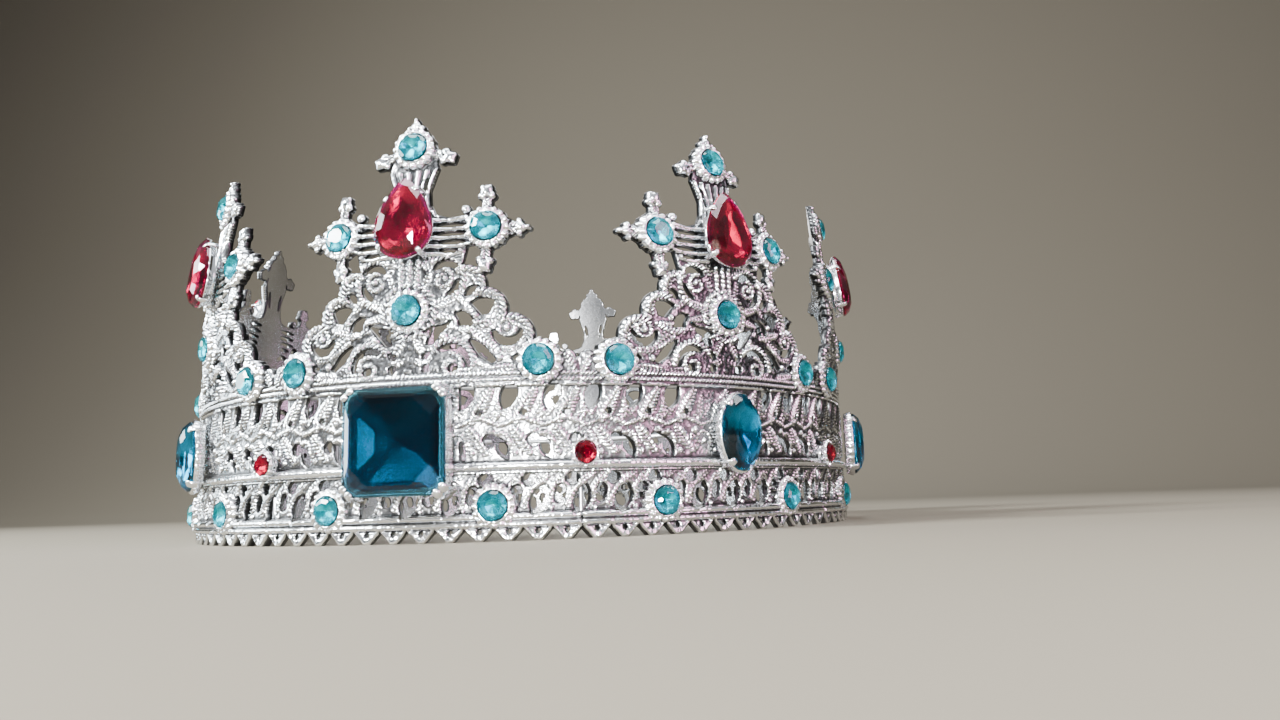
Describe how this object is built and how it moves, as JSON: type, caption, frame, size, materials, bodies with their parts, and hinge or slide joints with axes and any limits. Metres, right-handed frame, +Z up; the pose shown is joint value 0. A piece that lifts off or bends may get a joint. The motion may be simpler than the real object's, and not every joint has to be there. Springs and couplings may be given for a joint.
{
  "type": "crown",
  "caption": "Full-round silver crown of pierced cast plates with cross-shaped points, claw-set square, oval and drop stones, small round stones and a holed toothed lower edge.",
  "frame": {"origin": "centre of the ring, at the tips of the lower teeth", "axes": "+Z up along the ring's axis; -Y is the front, through the middle of the first plate"},
  "size_m": [0.1712, 0.1762, 0.0813],
  "materials": {
    "band_plating": "bright silver plating over a cast relief",
    "point_plating": "bright silver plating over a cast relief",
    "setting_metal": "polished silver plating",
    "solder": "dull plated solder",
    "deep_teal_stone": "foil-backed cut glass",
    "teal_stone": "foil-backed cut glass",
    "red_stone": "foil-backed cut glass",
    "aqua_stone": "foil-backed cut acrylic",
    "small_red_stone": "foil-backed cut glass"
  },
  "bodies": {
    "root": {"band_1": "band_plating", "band_2": "band_plating", "band_3": "band_plating", "band_4": "band_plating", "band_5": "band_plating", "band_6": "band_plating", "band_7": "band_plating", "band_8": "band_plating", "point_1": "point_plating", "point_2": "point_plating", "point_3": "point_plating", "point_4": "point_plating", "point_5": "point_plating", "point_6": "point_plating", "point_7": "point_plating", "point_8": "point_plating", "square_settings": "setting_metal", "oval_settings": "setting_metal", "drop_settings": "setting_metal", "red_cups": "setting_metal", "square_stones": "deep_teal_stone", "oval_stones": "teal_stone", "drop_stones": "red_stone", "top_stones": "aqua_stone", "arm_stones": "aqua_stone", "middle_stones": "aqua_stone", "shoulder_stones": "aqua_stone", "band_stones": "aqua_stone", "red_stones": "small_red_stone", "seam_solder": "solder", "base_solder": "solder"}
  },
  "joints": []
}
